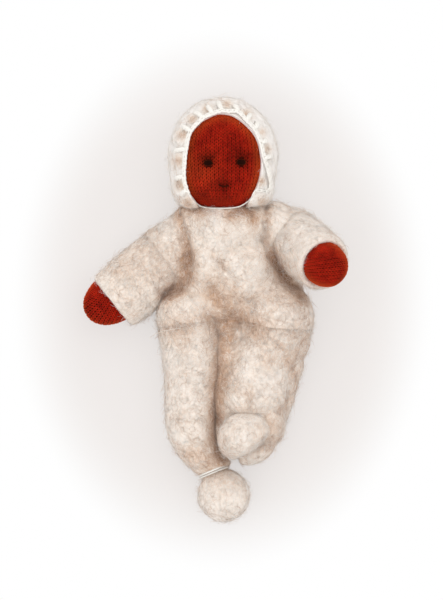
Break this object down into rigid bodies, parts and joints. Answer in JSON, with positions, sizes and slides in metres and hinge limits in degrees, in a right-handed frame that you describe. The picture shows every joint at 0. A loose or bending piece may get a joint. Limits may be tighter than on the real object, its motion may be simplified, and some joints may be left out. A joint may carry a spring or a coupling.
{
  "type": "stuffed baby doll",
  "caption": "Pocket baby doll lying on its back: knitted face and hands in a hooded suit of fluffy wool, with ball feet tied off and limbs that turn at sewn joints.",
  "frame": {"origin": "middle of the underside, on the surface that the doll lies on", "axes": "+Z out of the chest, +Y toward the top of the head, +X toward the doll's left side"},
  "size_m": [0.0814, 0.1272, 0.0357],
  "materials": {
    "wool": "fluffy",
    "jersey": "knitted",
    "cotton": "matte",
    "dark_thread": "matte",
    "fill": "matte"
  },
  "bodies": {
    "torso": {"torso_cover": "wool", "torso_stuffing": "fill"},
    "neck": {"neck_tie": "cotton"},
    "head": {"head_core": "fill", "face_skin": "jersey", "eye_right": "dark_thread", "eye_left": "dark_thread", "mouth_stitch": "dark_thread", "hood": "wool", "hood_edging": "cotton"},
    "shoulder_right": {"shoulder_thread_right": "cotton"},
    "arm_right": {"sleeve_right": "wool", "arm_stuffing_right": "fill", "wrist_tie_right": "cotton", "hand_right": "jersey", "hand_stuffing_right": "fill"},
    "shoulder_left": {"shoulder_thread_left": "cotton"},
    "arm_left": {"sleeve_left": "wool", "arm_stuffing_left": "fill", "wrist_tie_left": "cotton", "hand_left": "jersey", "hand_stuffing_left": "fill"},
    "hip_right": {"hip_thread_right": "cotton"},
    "leg_right": {"leg_cover_right": "wool", "leg_stuffing_right": "fill"},
    "foot_right": {"foot_right": "wool", "foot_stuffing_right": "fill", "ankle_tie_right": "cotton"},
    "hip_left": {"hip_thread_left": "cotton"},
    "leg_left": {"leg_cover_left": "wool", "leg_stuffing_left": "fill"},
    "foot_left": {"foot_left": "wool", "foot_stuffing_left": "fill", "ankle_tie_left": "cotton"}
  },
  "joints": [
    {"name": "head_nod", "type": "hinge", "parent": "torso", "child": "neck", "pos_m": [0.00248, 0.02807, 0.0157], "axis": [1, 0, 0], "range_deg": [-5, 25]},
    {"name": "head_turn", "type": "hinge", "parent": "neck", "child": "head", "pos_m": [0.00248, 0.02807, 0.0157], "axis": [0, 1, 0], "range_deg": [-60, 60]},
    {"name": "shoulder_swing_right", "type": "hinge", "parent": "torso", "child": "shoulder_right", "pos_m": [-0.01552, 0.01547, 0.01], "axis": [0, 0, -1], "range_deg": [-8, 70]},
    {"name": "shoulder_lift_right", "type": "hinge", "parent": "shoulder_right", "child": "arm_right", "pos_m": [-0.01552, 0.01547, 0.01], "axis": [-0.6088, 0.7934, 0], "range_deg": [0, 60]},
    {"name": "shoulder_swing_left", "type": "hinge", "parent": "torso", "child": "shoulder_left", "pos_m": [0.02368, 0.02087, 0.0104], "axis": [0, 0, 1], "range_deg": [0, 70]},
    {"name": "shoulder_lift_left", "type": "hinge", "parent": "shoulder_left", "child": "arm_left", "pos_m": [0.02368, 0.02087, 0.0104], "axis": [-0.6225, -0.7826, 0], "range_deg": [-50, 12]},
    {"name": "hip_fold_right", "type": "hinge", "parent": "torso", "child": "hip_right", "pos_m": [-0.00757, -0.00393, 0.01], "axis": [-1, 0, 0], "range_deg": [0, 80]},
    {"name": "hip_spread_right", "type": "hinge", "parent": "hip_right", "child": "leg_right", "pos_m": [-0.00757, -0.00393, 0.01], "axis": [0, 0, -1], "range_deg": [0, 20]},
    {"name": "hip_fold_left", "type": "hinge", "parent": "torso", "child": "hip_left", "pos_m": [0.01778, -0.00453, 0.0118], "axis": [-1, 0, 0], "range_deg": [0, 80]},
    {"name": "hip_spread_left", "type": "hinge", "parent": "hip_left", "child": "leg_left", "pos_m": [0.01778, -0.00453, 0.0118], "axis": [0, 0, 1], "range_deg": [0, 20]},
    {"name": "ankle_fold_right", "type": "hinge", "parent": "leg_right", "child": "foot_right", "pos_m": [-0.00122, -0.04673, 0.0079], "axis": [-0.934, -0.3572, -0.0105], "range_deg": [0, 25]},
    {"name": "ankle_fold_left", "type": "hinge", "parent": "leg_left", "child": "foot_left", "pos_m": [0.01418, -0.04093, 0.0096], "axis": [-0.5449, -0.8368, -0.0533], "range_deg": [-115, 0]}
  ]
}
